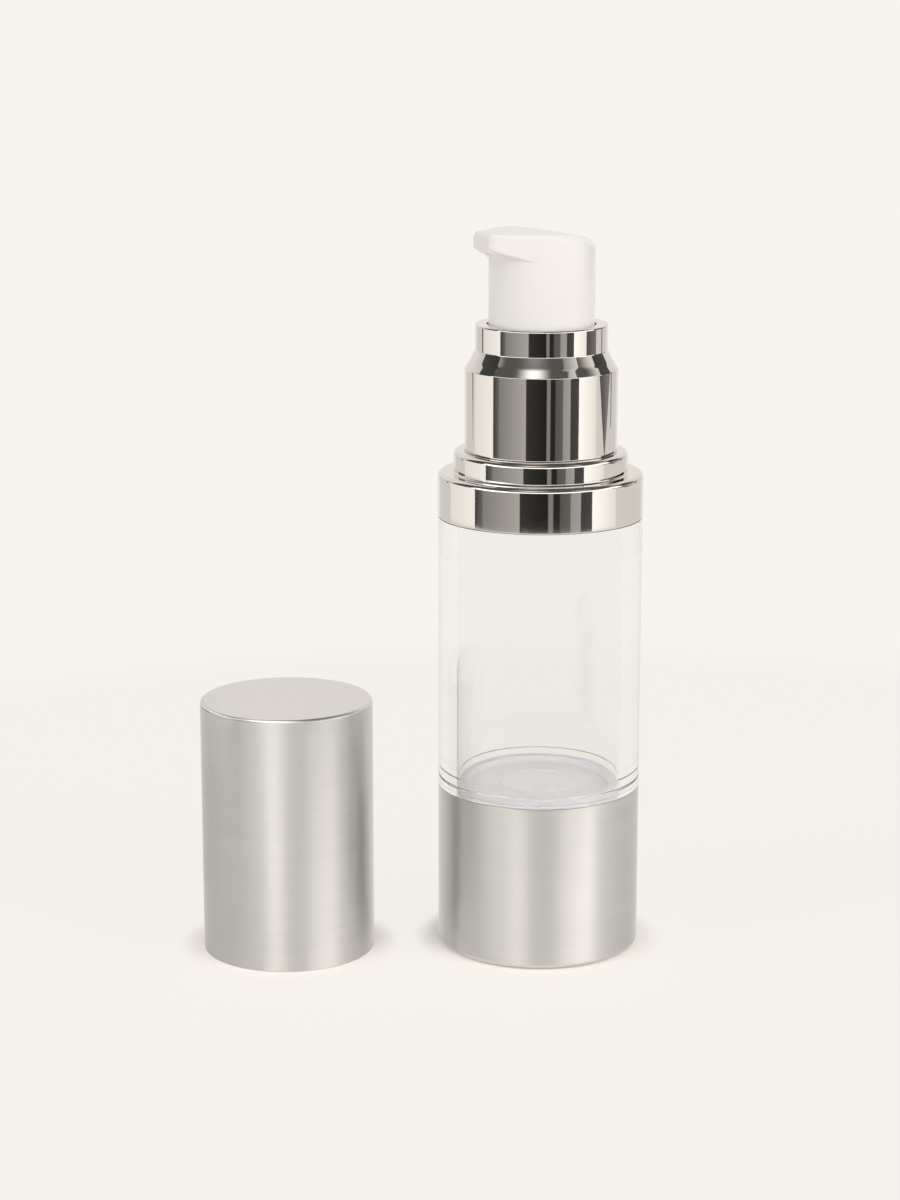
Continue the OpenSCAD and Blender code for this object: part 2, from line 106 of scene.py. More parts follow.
def mesh_piece(name, points, faces, uv=None):
    """An object from points in mm and faces, lists of equal rows or several of them. It is
    smooth but for edges that turn more than 40 degrees. uv, one pair a point, is in metres."""
    mesh = bpy.data.meshes.new(name)
    rows = [f for block in faces for f in np.asarray(block).tolist()]
    mesh.from_pydata((np.asarray(points, float) / 1000).tolist(), [], rows)
    if uv is not None:
        corner = np.empty(len(mesh.loops), np.int32)
        mesh.loops.foreach_get("vertex_index", corner)
        layer = mesh.uv_layers.new(name="along")
        layer.data.foreach_set("uv", uv[corner].astype(np.float32).ravel())
    mesh.polygons.foreach_set("use_smooth", np.ones(len(mesh.polygons), bool))
    mesh.set_sharp_from_angle(angle=np.radians(40))
    mesh.update()
    piece = bpy.data.objects.new(name, mesh)
    bpy.context.scene.collection.objects.link(piece)
    return piece


def woven(rows, columns, closed):
    """Quads of a grid that closes round its columns, and also along its rows if closed. Point
    (i, j) is number i * columns + j, and a face is (i, j), (i, j + 1), (i + 1, j + 1),
    (i + 1, j)."""
    i, j = np.meshgrid(np.arange(rows if closed else rows - 1), np.arange(columns), indexing="ij")
    up, on = (i + 1) % rows, (j + 1) % columns
    quads = [i * columns + j, i * columns + on, up * columns + on, up * columns + j]
    return np.stack(quads, -1).reshape(-1, 4)


SEAM = 1.1  # radians: the UV map starts at the bottle's back


def turned(name, corners, centre=(0, 0), sides=256):
    """A surface turned about an upright line through centre. With (r, z) along the rounded
    section and t round the circle, a point is centre + (r cos t, r sin t, z). The u of the UV
    map runs round and the v along the section. A section that starts and ends on the axis closes
    in poles."""
    section = rounded(corners)
    area = np.sum(section[:, 0] * (np.roll(section[:, 1], -1) - np.roll(section[:, 1], 1)))
    if area < 0:
        section = section[::-1]
    poled = section[0, 0] == 0
    rim = section[1:-1] if poled else section
    t = np.linspace(0, 2 * np.pi, sides, endpoint=False) + SEAM
    r, z = rim[:, :1], rim[:, 1:]
    points = np.stack([r * np.cos(t), r * np.sin(t), z + 0 * t], -1).reshape(-1, 3)
    faces = [woven(len(rim), sides, not poled)]
    run = np.concatenate([[0], np.cumsum(np.linalg.norm(np.diff(rim, axis=0), axis=1))])
    u, v = np.meshgrid(t * rim[:, 0].max(), run)
    uv = np.stack([u, v], -1).reshape(-1, 2) / 1000
    if poled:
        low, high = len(points), len(points) + 1
        here, on = np.arange(sides), (np.arange(sides) + 1) % sides
        top = (len(rim) - 1) * sides
        faces.append(np.stack([here * 0 + low, on, here], -1))
        faces.append(np.stack([here * 0 + high, top + here, top + on], -1))
        points = np.vstack([points, [0, 0, section[0, 1]], [0, 0, section[-1, 1]]])
        uv = np.vstack([uv, [0, 0], [0, run[-1] / 1000]])
    return mesh_piece(name, points + np.array([*centre, 0]), faces, uv)


def linear(hex_colour):
    """An sRGB hex colour as linear red, green, blue and full alpha."""
    c = np.array([int(hex_colour[i : i + 2], 16) for i in (1, 3, 5)]) / 255
    return (*np.where(c <= 0.04045, c / 12.92, ((c + 0.055) / 1.055) ** 2.4), 1.0)


def add_node(tree, kind, inputs=None, **settings):
    """Adds a node with its settings. inputs gives sockets by name or number: a socket is linked,
    anything else is written as the value."""
    node = tree.nodes.new("ShaderNode" + kind)
    for key, value in settings.items():
        setattr(node, key, value)
    for key, value in (inputs or {}).items():
        if isinstance(value, bpy.types.NodeSocket):
            tree.links.new(value, node.inputs[key])
        else:
            node.inputs[key].default_value = value
    return node


def ranged(tree, value, low, high, start=0.0, end=1.0, smooth=False):
    """Carries a value that runs from start to end over to low to high, and holds it there."""
    return add_node(tree, "MapRange", {
        "Value": value, "From Min": start, "From Max": end, "To Min": low, "To Max": high},
        interpolation_type="SMOOTHSTEP" if smooth else "LINEAR").outputs["Result"]


def tinted(tree, value, first, last):
    """A colour that goes from one hex colour to another with a value from 0 to 1."""
    ramp = add_node(tree, "ValToRGB", {"Fac": value})
    for stop, colour in zip(ramp.color_ramp.elements, (first, last)):
        stop.color = linear(colour)
    return ramp.outputs["Color"]


def new_material(name):
    """An empty node material and its tree."""
    material = bpy.data.materials.new(name)
    material.use_nodes = True
    material.node_tree.nodes.clear()
    return material, material.node_tree


def dress(piece, material, body, slot, *nodes):
    """Gives a piece its material. One of the scene's own also gets its body and hides the CAD
    nodes that it stands for. slot is not used."""
    piece.data.materials.clear()
    piece.data.materials.append(material)
    if piece.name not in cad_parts:
        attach(piece, body)
        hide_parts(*nodes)


def drill(piece, x, y, radius, low, high, sides=40):
    """Cuts a round upright hole: the cutter is (x + r cos t, y + r sin t) from low to high."""
    t = np.linspace(0, 2 * np.pi, sides, endpoint=False)
    ring = np.stack([x + radius * np.cos(t), y + radius * np.sin(t)], -1)
    points = np.vstack([np.c_[ring, 0 * t + low], np.c_[ring, 0 * t + high]])
    walls = woven(2, sides, False)
    ends = [np.arange(sides)[::-1][None], (np.arange(sides) + sides)[None]]
    cutter = mesh_piece("cutter", points, [walls, *ends])
    cut = piece.modifiers.new("hole", "BOOLEAN")
    cut.operation, cut.solver, cut.object = "DIFFERENCE", "EXACT", cutter
    view = bpy.context.evaluated_depsgraph_get()
    made = bpy.data.meshes.new_from_object(piece.evaluated_get(view))
    piece.modifiers.clear()
    piece.data = made
    bpy.data.objects.remove(cutter)


# Anodised aluminium, spun against abrasive: the hairlines run round the piece, so each lamp is
# drawn out along its height and stays narrow round it, which gives the soft upright bands.
brushed, tree = new_material("brushed_anodised_aluminium")
HAIRLINE = 0.00022  # real ones are about 0.03 mm apart; drawn at 0.22 mm so that they show
STREAK = 0.012
uv = add_node(tree, "UVMap", uv_map="along").outputs[0]
fine_map = add_node(tree, "Mapping", {"Vector": uv, "Scale": (1 / STREAK, 1 / HAIRLINE, 1)})
fine = add_node(tree, "TexNoise", {
    "Vector": fine_map.outputs[0], "Scale": 1, "Detail": 4, "Roughness": 0.6}).outputs["Fac"]
wide_map = add_node(tree, "Mapping", {"Vector": uv, "Scale": (30, 500, 1)})
wide = add_node(tree, "TexNoise", {"Vector": wide_map.outputs[0], "Scale": 1, "Detail": 2})
relief = add_node(tree, "Bump", {"Height": fine, "Strength": 0.3, "Distance": 0.00002})
round_it = add_node(tree, "Tangent", direction_type="UV_MAP", uv_map="along")
shell = add_node(tree, "BsdfPrincipled", {
    "Base Color": tinted(tree, wide.outputs["Fac"], "#E1E0DF", "#E8E7E6"), "Metallic": 1.0,
    "Roughness": ranged(tree, fine, 0.38, 0.64), "Anisotropic": 0.92,
    "Anisotropic Rotation": 0.25, "Tangent": round_it.outputs[0], "Normal": relief.outputs[0]})
# The end faces and the rounded edges are left satin by the etching bath.
satin = add_node(tree, "BsdfPrincipled", {
    "Base Color": linear("#DDDCDA"), "Metallic": 1.0, "Roughness": 0.3,
    "Normal": relief.outputs[0]})
facing = add_node(tree, "SeparateXYZ", {0: add_node(tree, "NewGeometry").outputs["Normal"]})
level = add_node(tree, "Math", {0: facing.outputs[2]}, operation="ABSOLUTE")
flat = ranged(tree, level.outputs[0], 0.0, 1.0, 0.1, 0.5, smooth=True)
both = add_node(tree, "MixShader", {0: flat, 1: shell.outputs[0], 2: satin.outputs[0]})
add_node(tree, "OutputMaterial", {"Surface": both.outputs[0]})

base_shell = turned("base_cup", [
    (0, 0, 0), (BODY_R, 0, BASE_EDGE), (BODY_R, BASE_TOP, 0.12),
    (BODY_R - SKIN, BASE_TOP, 0.12), (BODY_R - SKIN, SKIN, BASE_EDGE - SKIN), (0, SKIN, 0)])
drill(base_shell, *VENT_AT, VENT_R, -1, SKIN + 1)
dress(base_shell, brushed, "bottle", "brushed_aluminium", "base_shell")

# ---- Clear inner base ------------------------------------------------------------------------
# Injection-moulded styrene acrylonitrile, as clear as glass. Its deck carries the barrel's
# spigot, and a vent in the deck lets air in under the piston. Its flange is the clear band above
# the metal, and is drawn with the barrel, to which it is welded.
PRESS_GAP = 0.05
LINER_R = BODY_R - SKIN - PRESS_GAP
HOLLOW_R = 15.5
SOCKET_R = 16.0
DECK_TOP = 20.4
DECK_LOW = 18.8
DECK_VENT_R = 1.6
JOINT = 0.02  # pieces that touch in the real bottle are drawn this far apart

# Styrene acrylonitrile, polished mould: it bends light strongly (IOR 1.57), so the thick wall
# shows bright and dark lines along its sides, and it takes a faint grey from its own thickness.
clear, tree = new_material("clear_styrene_acrylonitrile")
place = add_node(tree, "TexCoord").outputs["Object"]
flow = add_node(tree, "TexNoise", {"Vector": place, "Scale": 60, "Detail": 1})
relief = add_node(tree, "Bump", {
    "Height": flow.outputs["Fac"], "Strength": 0.05, "Distance": 0.0001})
glass = add_node(tree, "BsdfPrincipled", {
    "Base Color": linear("#FBFBFB"), "Roughness": 0.0, "IOR": 1.57,
    "Transmission Weight": 1.0, "Normal": relief.outputs[0]})
add_node(tree, "OutputMaterial", {"Surface": glass.outputs[0]})

inner_base = turned("clear_inner_base", [
    (HOLLOW_R, SKIN + JOINT, 0.1), (LINER_R, SKIN + JOINT, 1.1), (LINER_R, BASE_TOP, 0.05),
    (SOCKET_R, BASE_TOP, 0.05), (SOCKET_R, DECK_TOP, 0.1), (DECK_VENT_R, DECK_TOP, 0.05),
    (DECK_VENT_R, DECK_LOW, 0.05), (HOLLOW_R, DECK_LOW, 0.2)])
dress(inner_base, clear, "bottle", "clear_san", "base_liner")

# ---- Barrel ----------------------------------------------------------------------------------
# A thick tube in the same clear plastic, moulded round a polished core whose bore the piston
# wipes. A fine groove marks its weld to the inner base, and its neck carries a right-hand thread
# for the pump. The spigot, which plugs into the inner base, is drawn as a piece of its own.
BORE_R = 14.05
BAND_TOP = 30.6
GROOVE_HALF = 0.08
GROOVE_DEEP = 0.09
WINDOW_TOP = 76.2
SHOULDER_R = 15.85
ROOF_LOW = 79.2
ROOF_TOP = 81.6
NECK_R = 10.2
NECK_BORE = 8.5
NECK_TOP = 96.15
SPIGOT_R = SOCKET_R - PRESS_GAP
THREAD_LOW = 87.65
THREAD_TURNS = 1.5
THREAD_HIGH = 0.6
THREAD_ROOT = 0.6
THREAD_CREST = 0.24
THREAD_SUNK = 0.2
PITCH = 3.0


def coiled(name, radius, low, rise, turns, section, steps=32, tapered=False):
    """A closed section carried up a helix: at turn t the section's point (out, up) sits at radius
    + out and height low + rise t + up. A tapered one shrinks inwards to 5% of its depth in the
    last quarter turn at both ends."""
    count = int(turns * steps) + 1
    t = np.linspace(0, turns, count)[:, None]
    out, up = np.asarray(section, float).T
    r = radius + out * (np.clip(np.minimum(t, turns - t) * 4, 0.05, 1) if tapered else 1)
    a = 2 * np.pi * t
    points = np.stack([r * np.cos(a), r * np.sin(a), low + rise * t + up + 0 * r], -1)
    n = len(out)
    ends = [np.arange(n)[::-1][None], (np.arange(n) + (count - 1) * n)[None]]
    faces = woven(count, n, False)
    return mesh_piece(name, points.reshape(-1, 3), [faces, *ends])


barrel = turned("clear_barrel", [
    (BORE_R, BASE_TOP + JOINT, 0.02), (BODY_R, BASE_TOP + JOINT, 0.1),
    (BODY_R, BAND_TOP - GROOVE_HALF, 0.05), (BODY_R - GROOVE_DEEP, BAND_TOP, 0.02),
    (BODY_R, BAND_TOP + GROOVE_HALF, 0.05), (BODY_R, WINDOW_TOP, 0.1),
    (SHOULDER_R, WINDOW_TOP, 0.1), (SHOULDER_R, ROOF_TOP, 0.3), (NECK_R, ROOF_TOP, 0.2),
    (NECK_R, NECK_TOP, 0.2), (NECK_BORE, NECK_TOP, 0.2), (NECK_BORE, ROOF_LOW, 0.4),
    (BORE_R, ROOF_LOW, 0.5)])
dress(barrel, clear, "bottle", "clear_san", "barrel")
spigot = turned("barrel_spigot", [
    (BORE_R, DECK_TOP + JOINT, 0.3), (SPIGOT_R, DECK_TOP + JOINT, 0.4),
    (SPIGOT_R, BASE_TOP, 0.05), (BORE_R, BASE_TOP, 0.05)])
dress(spigot, clear, "bottle", "clear_san")
thread = coiled("neck_thread", NECK_R, THREAD_LOW, PITCH, THREAD_TURNS, [
    (-THREAD_SUNK, -THREAD_ROOT), (THREAD_HIGH, -THREAD_CREST), (THREAD_HIGH, THREAD_CREST),
    (-THREAD_SUNK, THREAD_ROOT)], tapered=True)
dress(thread, clear, "bottle", "clear_san")

# ---- Follower piston -------------------------------------------------------------------------
# Moulded in natural polyethylene, milky and soft enough for its two lips to seal on the bore. The
# gate mark is in the middle of its floor, inside a low stiffening ring.
PISTON_LOW = 20.45
PISTON_TOP = 30.05
FLOOR_LOW = 28.05
FLOOR_TOP = 28.95
RING_CREST = 29.25
RING_INNER_R = 6.2
RING_OUTER_R = 6.8
CUP_R = 12.3
WAIST = 13.2
LIP = 14.0
LIP_HIGH = 2.4
GATE_R = 0.6
GATE_TIP_R = 0.4
GATE_HIGH = 0.2

# Low-density polyethylene, lightly textured mould: light goes in, scatters and comes out again,
# so that it looks milky.
milky, tree = new_material("natural_polyethylene")
place = add_node(tree, "TexCoord").outputs["Object"]
cloud = add_node(tree, "TexNoise", {"Vector": place, "Scale": 400, "Detail": 2}).outputs["Fac"]
relief = add_node(tree, "Bump", {"Height": cloud, "Strength": 0.1, "Distance": 0.00005})
wax = add_node(tree, "BsdfPrincipled", {
    "Base Color": tinted(tree, cloud, "#F6F6F8", "#FAFAFC"), "Roughness": 0.3, "IOR": 1.51,
    "Subsurface Weight": 0.2, "Subsurface Scale": 0.0003,
    "Subsurface Radius": (0.8, 0.85, 1.0), "Normal": relief.outputs[0]})
add_node(tree, "OutputMaterial", {"Surface": wax.outputs[0]})

piston = turned("follower", [
    (0, FLOOR_LOW, 0), (CUP_R, FLOOR_LOW, 0.4), (CUP_R, PISTON_LOW, 0.15),
    (LIP, PISTON_LOW, 0.15), (LIP, PISTON_LOW + LIP_HIGH, 0.3),
    (WAIST, PISTON_LOW + LIP_HIGH, 0.3), (WAIST, PISTON_TOP - LIP_HIGH, 0.3),
    (LIP, PISTON_TOP - LIP_HIGH, 0.3), (LIP, PISTON_TOP, 0.15), (CUP_R, PISTON_TOP, 0.3),
    (CUP_R, FLOOR_TOP, 0.4), (RING_OUTER_R, FLOOR_TOP, 0.2), (RING_OUTER_R, RING_CREST, 0.2),
    (RING_INNER_R, RING_CREST, 0.2), (RING_INNER_R, FLOOR_TOP, 0.2), (GATE_R, FLOOR_TOP, 0.1),
    (GATE_TIP_R, FLOOR_TOP + GATE_HIGH, 0.1), (0, FLOOR_TOP + GATE_HIGH, 0)])
dress(piston, milky, "follower", "natural_pe", "follower_piston")

# ---- Shoulder ring ---------------------------------------------------------------------------
# The collar's lower two steps: one ring moulded in ABS, lacquered, coated with aluminium in a
# vacuum and lacquered again. It is glued over the barrel's shoulder, and the cap sits on its
# step.
RING_R = 17.6
RING_SEAT_R = SHOULDER_R + PRESS_GAP
RING_BORE = 12.7
STEP_R = 14.9
RING_TOP = 83.9
STEP_TOP = 87.6

# Vacuum-metallised ABS under clear lacquer: a mirror a shade darker and warmer than silver, with
# the faint waviness that the lacquer leaves.
mirror, tree = new_material("metallised_abs")
place = add_node(tree, "TexCoord").outputs["Object"]
wave = add_node(tree, "TexNoise", {"Vector": place, "Scale": 110, "Detail": 1})
haze = add_node(tree, "TexNoise", {"Vector": place, "Scale": 900, "Detail": 3})
relief = add_node(tree, "Bump", {
    "Height": wave.outputs["Fac"], "Strength": 0.15, "Distance": 0.0001})
film = add_node(tree, "BsdfPrincipled", {
    "Base Color": linear("#DAD7D3"), "Metallic": 1.0,
    "Roughness": ranged(tree, haze.outputs["Fac"], 0.03, 0.07), "Normal": relief.outputs[0]})
add_node(tree, "OutputMaterial", {"Surface": film.outputs[0]})

ring = turned("collar_ring", [
    (RING_SEAT_R, WINDOW_TOP + JOINT, 0.1), (RING_R, WINDOW_TOP + JOINT, 0.2),
    (RING_R, RING_TOP, 0.9), (STEP_R, RING_TOP, 0.25), (STEP_R, STEP_TOP, 0.9),
    (RING_BORE, STEP_TOP, 0.2), (RING_BORE, ROOF_TOP, 0.1), (RING_SEAT_R, ROOF_TOP, 0.1)])
dress(ring, mirror, "bottle", "bright_metallised_abs", "shoulder_ring")

# ---- Pump inside -----------------------------------------------------------------------------
# The pump under the head: housing, guide ring, stem, plunger and seal moulded in polypropylene
# and polyethylene, a soft washer on the neck, and a steel ball as the inlet valve.
plain_colours = {
    "natural_polypropylene": ("#EFEDE6", 0.35, ["pump_housing"]),
    "white_polypropylene": ("#F2F1EE", 0.4, ["closure", "guide_ring", "stem", "plunger"]),
    "soft_polyethylene": ("#E9E8E3", 0.55, ["neck_gasket", "piston_seal"]),
    "stainless_steel": ("#C9C8C6", 0.16, ["inlet_ball"]),
}
GLOSS_SPREAD = 0.06
finishes = {}
for name, (colour, roughness, nodes) in plain_colours.items():
    # Moulded plastic has the faint mottle of its mould; the steel is ground, drawn and tumbled.
    finishes[name], tree = new_material(name)
    place = add_node(tree, "TexCoord").outputs["Object"]
    grain = add_node(tree, "TexNoise", {
        "Vector": place, "Scale": 1500, "Detail": 2}).outputs["Fac"]
    relief = add_node(tree, "Bump", {"Height": grain, "Strength": 0.1, "Distance": 0.00002})
    body = add_node(tree, "BsdfPrincipled", {
        "Base Color": linear(colour), "Metallic": float(name == "stainless_steel"),
        "Roughness": ranged(tree, grain, roughness - GLOSS_SPREAD, roughness + GLOSS_SPREAD),
        "Normal": relief.outputs[0]})
    add_node(tree, "OutputMaterial", {"Surface": body.outputs[0]})
    for node in nodes:
        dress(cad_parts[node], finishes[name], None, None)

# ---- Return spring ---------------------------------------------------------------------------
# Seven turns of 0.7 mm spring steel between the guide ring and the head's ribs. It stands outside
# the stem, away from the product. The real one shortens by the head's whole travel; this coil is
# drawn at one length.
SPRING_LOW = 99.6
SPRING_TOP = 112.0
SPRING_TURNS = 7
COIL_R = 4.8
WIRE = 0.35
rise = (SPRING_TOP - SPRING_LOW - 2 * WIRE) / SPRING_TURNS
around = np.linspace(0, 2 * np.pi, 12, endpoint=False)
spring = coiled("spring_coil", COIL_R, SPRING_LOW + WIRE, rise, SPRING_TURNS,
                np.stack([WIRE * np.cos(around), WIRE * np.sin(around)], -1), steps=40)
dress(spring, finishes["stainless_steel"], "spring", "stainless_steel", "return_spring")
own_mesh(spring)

# ---- Pump collar -----------------------------------------------------------------------------
# The bright sleeve over the closure, formed and metallised like the ring below it. A flared cone
# draws it in to the neck ring, whose flat top leaves a hair of space round the head.
SLEEVE_LOW = STEP_TOP + JOINT
SLEEVE_R = 13.05
SLEEVE_BORE = 12.25
SHELF_R = 11.45
SHELF = 99.55 + JOINT  # it rests on the closure's top
CONE_LOW = 101.55
CONE_TOP = 104.45
CONE_MIDDLE = (12.16, 102.9)
FLARE_R = 5.0
NECK_RING_R = 11.25
MOUTH_R = 9.25
MOUTH_LIP = 1.2
COLLAR_TOP = 109.2
COLLAR_WALL = 0.8
collar = turned("collar_sleeve", [
    (SLEEVE_BORE, SLEEVE_LOW, 0.1), (SLEEVE_R, SLEEVE_LOW, 0.1), (SLEEVE_R, CONE_LOW, 0.2),
    (*CONE_MIDDLE, FLARE_R), (NECK_RING_R, CONE_TOP + 0.3, 0.3), (NECK_RING_R, COLLAR_TOP, 0.3),
    (MOUTH_R, COLLAR_TOP, 0.2), (MOUTH_R, COLLAR_TOP - MOUTH_LIP, 0.15),
    (NECK_RING_R - COLLAR_WALL, COLLAR_TOP - MOUTH_LIP, 0.2),
    (NECK_RING_R - COLLAR_WALL, CONE_TOP - COLLAR_WALL, 0.3),
    (SHELF_R, CONE_LOW - COLLAR_WALL, 0.2), (SHELF_R, SHELF, 0.1), (SLEEVE_BORE, SHELF, 0.1)])
dress(collar, mirror, "closure", "bright_metallised_abs", "pump_collar")

# ---- Head ------------------------------------------------------------------------------------
# The part that the finger presses, moulded in white polypropylene from a polished mould: a round
# skirt, a beak whose underside slopes back into it, and a top that falls away to the back. A lid
# is let into the top, and the outlet is under the beak's tip.
HEAD_R = 9.0
HEAD_WALL = 1.0
SKIRT_LOW = 104.55
HEM = 0.2
HEM_EDGE = 0.15
HEAD_TOP = 124.9
HEAD_ROOF = 121.0
REACH = 11.6
TIP_HALF = 3.1
TIP_LOW = 122.0
CORNER_BLEND = 0.9
UNDER_SLOPE = np.tan(np.radians(18))
UNDER_BLEND = 1.5
UNDER_FILLET = 4.2
BROW = 4.0
BROW_R = 44.0
COLUMNS = 400
OUTLET_AT = (-10.1, 0)
OUTLET_R = 0.6
OUTLET_FROM_TO = (120.5, 123.5)


def soft_min(a, b, k):
    """The smaller of a and b, rounded where they differ by less than k."""
    h = np.clip(0.5 + 0.5 * (b - a) / np.maximum(k, 1e-9), 0, 1)
    return b * (1 - h) + a * h - k * h * (1 - h)


def plan(a, inset):
    """The head's outline from above at angle a from the beak, moved in by inset: the circle, the
    lines from it that touch it and run to the tip's corners, and the straight tip."""
    to_corner = np.hypot(REACH, TIP_HALF)
    touch = np.arctan2(TIP_HALF, REACH) + np.arccos(HEAD_R / to_corner)
    flank = (HEAD_R - inset) / np.cos(np.clip(touch - np.abs(a), 0, None))
    tip = np.where(np.cos(a) > 0.2, (REACH - inset) / np.maximum(np.cos(a), 0.2), 99)
    return soft_min(flank, tip, CORNER_BLEND)


def brow_height(x):
    """The top's height: level along the beak, then falling in an arc towards the back."""
    return HEAD_TOP - BROW_R + np.sqrt(BROW_R**2 - np.clip(x + BROW, 0, None) ** 2)


def on_top(a, inset, sunk=0.0):
    """Points of the top at distance inset from its outline, sunk below it: the edge is rounded by
    0.7 mm at the beak's tip up to 1.9 mm at the back."""
    edge = 0.7 + 0.6 * (1 - np.cos(a))
    r = plan(a, inset)
    x = -r * np.cos(a)
    drop = edge - np.sqrt(np.clip(edge**2 - np.clip(edge - inset, 0, None) ** 2, 0, None))
    return np.stack([x, r * np.sin(a), brow_height(x) - drop - sunk], -1)


def on_side(a, share):
    """Points of the side at a share of the way down. The radius is the circle's, or where the
    slope under the beak lies further out, the slope's, up to the outline. The three meet in
    fillets, and the one between slope and skirt grows with the beak's reach past the skirt."""
    top = on_top(a, 0 * a)[..., 2]
    z = top + (SKIRT_LOW + HEM - top) * share
    out = plan(a, 0)
    slope = (REACH - (TIP_LOW - z) / UNDER_SLOPE) / np.maximum(np.cos(a), 0.05)
    beak = soft_min(slope, out, UNDER_BLEND)
    fillet = np.clip(1.8 * (out - HEAD_R), 0, UNDER_FILLET)
    r = -soft_min(-beak, 0 * a - HEAD_R, fillet)
    return np.stack([-r * np.cos(a), r * np.sin(a), z], -1)


def level_ring(a, radius, height):
    """Points of a circle at one height."""
    return np.stack([-radius * np.cos(a), radius * np.sin(a), height + 0 * a], -1)


def capped(name, rows, low, high):
    """A surface of rows of points round the head, closed by a point before the first and one
    after the last."""
    n = rows[0].shape[0]
    points = np.vstack([*rows, [low], [high]])
    first, last, here = len(points) - 2, len(points) - 1, np.arange(n)
    on, top = (here + 1) % n, (len(rows) - 1) * n
    faces = [woven(len(rows), n, False), np.stack([here * 0 + first, on, here], -1),
             np.stack([here * 0 + last, top + here, top + on], -1)]
    return mesh_piece(name, points, faces)


# Angles crowd towards the beak, where the outline turns most, and rows towards the side's upper
# third, where the beak meets the skirt.
even = np.linspace(-np.pi, np.pi, COLUMNS, endpoint=False)
angle = -(even - 0.45 * np.sin(even))
BEAK_SHARE = 0.34
down = np.concatenate([np.linspace(0, BEAK_SHARE, 110), np.linspace(BEAK_SHARE, 1, 16)[1:]])
RIM = 0.993
LID_SUNK = 1.0
SEAT_EDGE = 0.05
SEAM_MIDDLE = 0.3
quarter = np.linspace(0, np.pi / 2, 14)
inward = np.linspace(HEAD_R - 0.4, RIM + JOINT, 24)
skirt_bore = HEAD_R - HEAD_WALL
top_middle = np.array([0, 0, brow_height(0)])
head_rows = [level_ring(angle, r, HEAD_ROOF) for r in (1.0, 4.0, 7.6)]
head_rows += [level_ring(angle, skirt_bore, z) for z in (
    HEAD_ROOF - 0.4, SPRING_TOP, SKIRT_LOW + HEM)]
head_rows += [level_ring(angle, r, SKIRT_LOW) for r in (skirt_bore + HEM_EDGE, HEAD_R - HEM_EDGE)]
head_rows += [on_side(angle, s) for s in down[::-1]]
head_rows += [on_top(angle, RIM * (1 - np.cos(q))) for q in quarter[1:]]
head_rows += [on_top(angle, RIM, s) for s in (SEAM_MIDDLE, LID_SUNK - SEAT_EDGE)]
head_rows += [on_top(angle, i, LID_SUNK) for i in inward[::-1]]
head = capped("head", head_rows, [0, 0, HEAD_ROOF], top_middle - [0, 0, LID_SUNK])
drill(head, *OUTLET_AT, OUTLET_R, *OUTLET_FROM_TO)

# Polypropylene from a polished mould: white, well filled, and glossy enough for a soft highlight
# along every rounded edge.
white, tree = new_material("white_polypropylene_polished")
place = add_node(tree, "TexCoord").outputs["Object"]
mottle = add_node(tree, "TexNoise", {"Vector": place, "Scale": 900, "Detail": 2}).outputs["Fac"]
relief = add_node(tree, "Bump", {"Height": mottle, "Strength": 0.05, "Distance": 0.00001})
skin = add_node(tree, "BsdfPrincipled", {
    "Base Color": tinted(tree, mottle, "#F2F1F0", "#F3F2F1"), "IOR": 1.49,
    "Roughness": ranged(tree, mottle, 0.25, 0.27), "Normal": relief.outputs[0]})
add_node(tree, "OutputMaterial", {"Surface": skin.outputs[0]})
dress(head, white, "head", "white_gloss_pp", "actuator")

# The lid snaps in flush, so its seam is a hairline just inside the rounded edge.
LID = 1.0
LID_EDGE = 2.1
lid_rows = [on_top(angle, i, LID_SUNK - JOINT) for i in inward]
lid_rows += [on_top(angle, LID, s) for s in (LID_SUNK - SEAT_EDGE, SEAM_MIDDLE)]
lid_rows += [on_top(angle, i) for i in (*np.linspace(LID, LID_EDGE, 12), *inward[15::-1])]
lid = capped("head_lid", lid_rows, top_middle - [0, 0, LID_SUNK - JOINT], top_middle)
dress(lid, white, "head", "white_gloss_pp", "actuator_lid")

# A socket for the stem hangs from the roof. The ribs round it, which press on the spring, are in
# the CAD alone, because no view shows them.
SOCKET_LOW = 106.0
SOCKET_BORE = 2.55
SOCKET_OUTER_R = 4.0
SOCKET_TOP = HEAD_ROOF + 0.2
socket = turned("stem_socket", [
    (SOCKET_BORE, SOCKET_LOW, 0.1), (SOCKET_OUTER_R, SOCKET_LOW, 0.1),
    (SOCKET_OUTER_R, SOCKET_TOP, 0.1), (SOCKET_BORE, SOCKET_TOP, 0.1)], sides=64)
dress(socket, white, "head", "white_gloss_pp")

# ---- Cap shell -------------------------------------------------------------------------------
# Drawn and brushed aluminium like the base. It stands mouth down beside the bottle, and when it
# is on it comes down to the collar's step, flush with it.
CAP_AT = (-40.3198, 17.3644)
CAP_R = 14.9
CAP_TOP = 44.6
cap_shell = turned("cap_cup", [
    (0, CAP_TOP - SKIN, 0), (CAP_R - SKIN, CAP_TOP - SKIN, 0.2), (CAP_R - SKIN, 0, 0.12),
    (CAP_R, 0, 0.15), (CAP_R, CAP_TOP, 0.7), (0, CAP_TOP, 0)], CAP_AT)
dress(cap_shell, brushed, "cap", "brushed_aluminium", "cap_shell")

